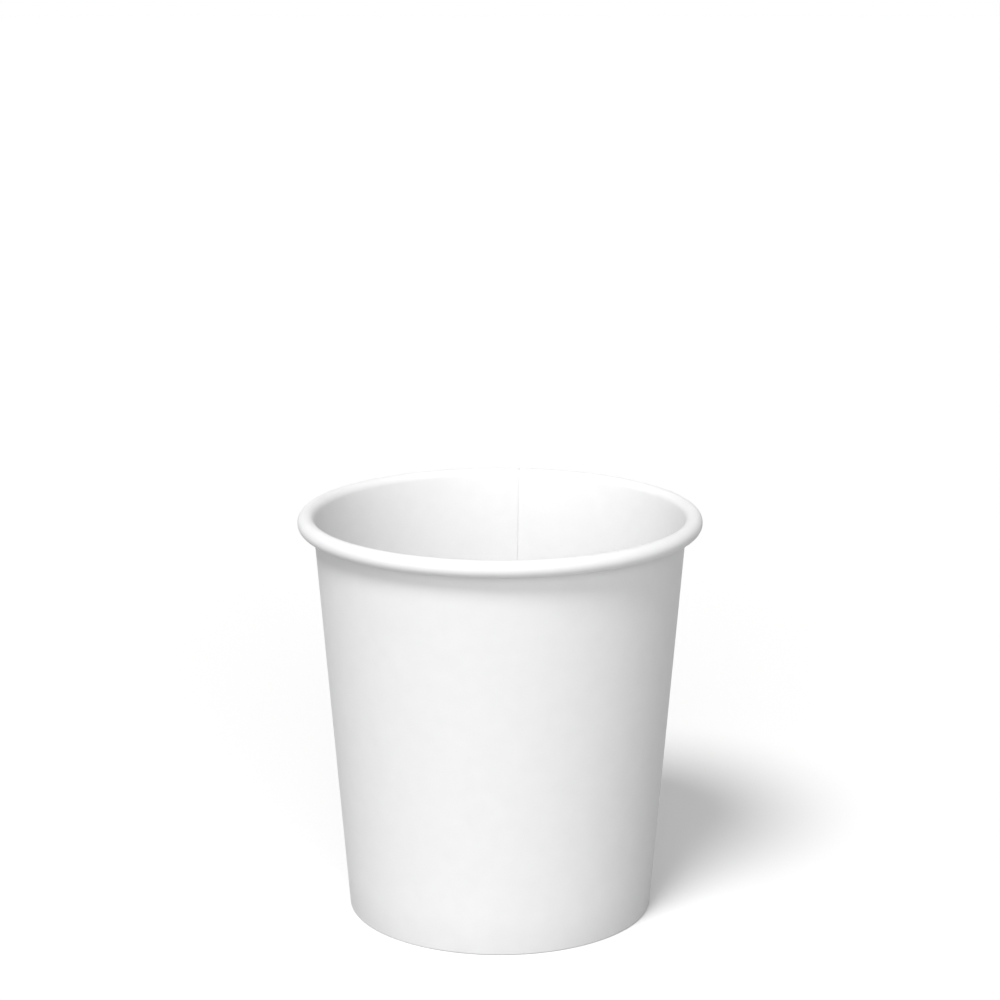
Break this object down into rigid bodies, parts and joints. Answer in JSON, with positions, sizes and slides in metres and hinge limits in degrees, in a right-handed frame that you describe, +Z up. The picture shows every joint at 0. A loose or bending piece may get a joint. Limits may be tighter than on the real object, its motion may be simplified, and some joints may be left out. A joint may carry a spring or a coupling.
{
  "type": "paper sundae cup",
  "caption": "Plain white tapered paperboard cup with a rolled rim, a lapped side seam and a recessed base.",
  "frame": {"origin": "centre of the foot, on the plane that the cup stands on", "axes": "+Z up along the cup's axis, out of its mouth; +Y towards the side seam; +X to the right as seen from the front"},
  "size_m": [0.09, 0.09, 0.0914],
  "materials": {
    "wall_board": "white coated paperboard, satin",
    "base_board": "white coated paperboard, satin"
  },
  "bodies": {
    "root": {"side_wall": "wall_board", "base_disc": "base_board"}
  },
  "joints": []
}
